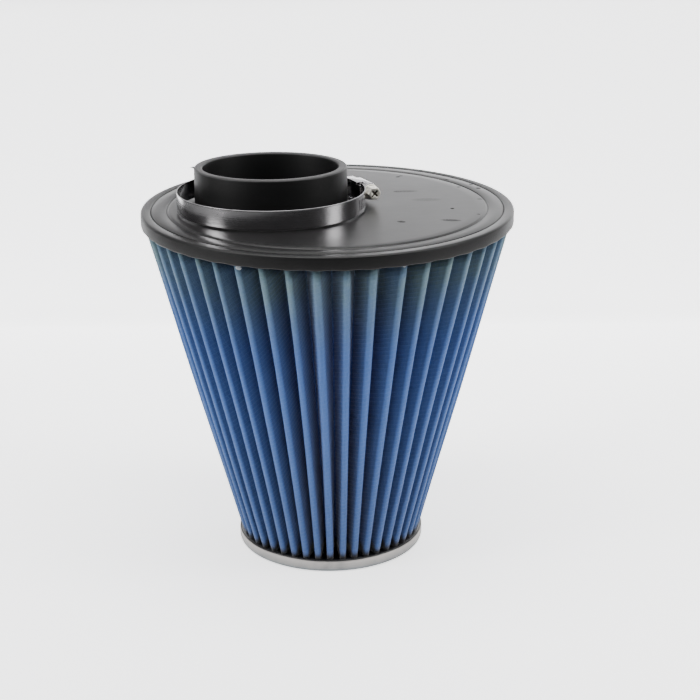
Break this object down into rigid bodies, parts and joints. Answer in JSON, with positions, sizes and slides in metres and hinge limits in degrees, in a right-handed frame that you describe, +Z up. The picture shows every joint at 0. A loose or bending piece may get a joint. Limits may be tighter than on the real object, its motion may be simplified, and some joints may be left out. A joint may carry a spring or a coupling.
{
  "type": "cone air filter",
  "caption": "Conical pleated engine air filter with a moulded top cap, an offset inlet tube, a drawn metal end cap and a loosened worm-drive hose clamp.",
  "frame": {"origin": "centre of the end cap's underside, on the axis of the pleated cone", "axes": "+Z up the axis of the cone to the wide end with the inlet tube; the tube is set over towards -X"},
  "size_m": [0.246, 0.246, 0.2677],
  "materials": {
    "black_moulding": "satin",
    "blue_gauze": "matte",
    "black_potting": "satin",
    "satin_metal": "satin",
    "band_steel": "polished",
    "bright_zinc": "satin"
  },
  "bodies": {
    "filter": {"top_cap": "black_moulding", "media_pack": "blue_gauze", "end_potting": "black_potting", "end_cap": "satin_metal", "clamp_band": "band_steel", "clamp_saddle": "band_steel", "clamp_housing": "band_steel"},
    "screw": {"clamp_screw": "bright_zinc"}
  },
  "joints": [
    {"name": "screw_turn", "type": "hinge", "parent": "filter", "child": "screw", "pos_m": [0.02431, 0.01432, 0.24495], "axis": [0.4325, -0.9016, 0], "continuous": true}
  ]
}
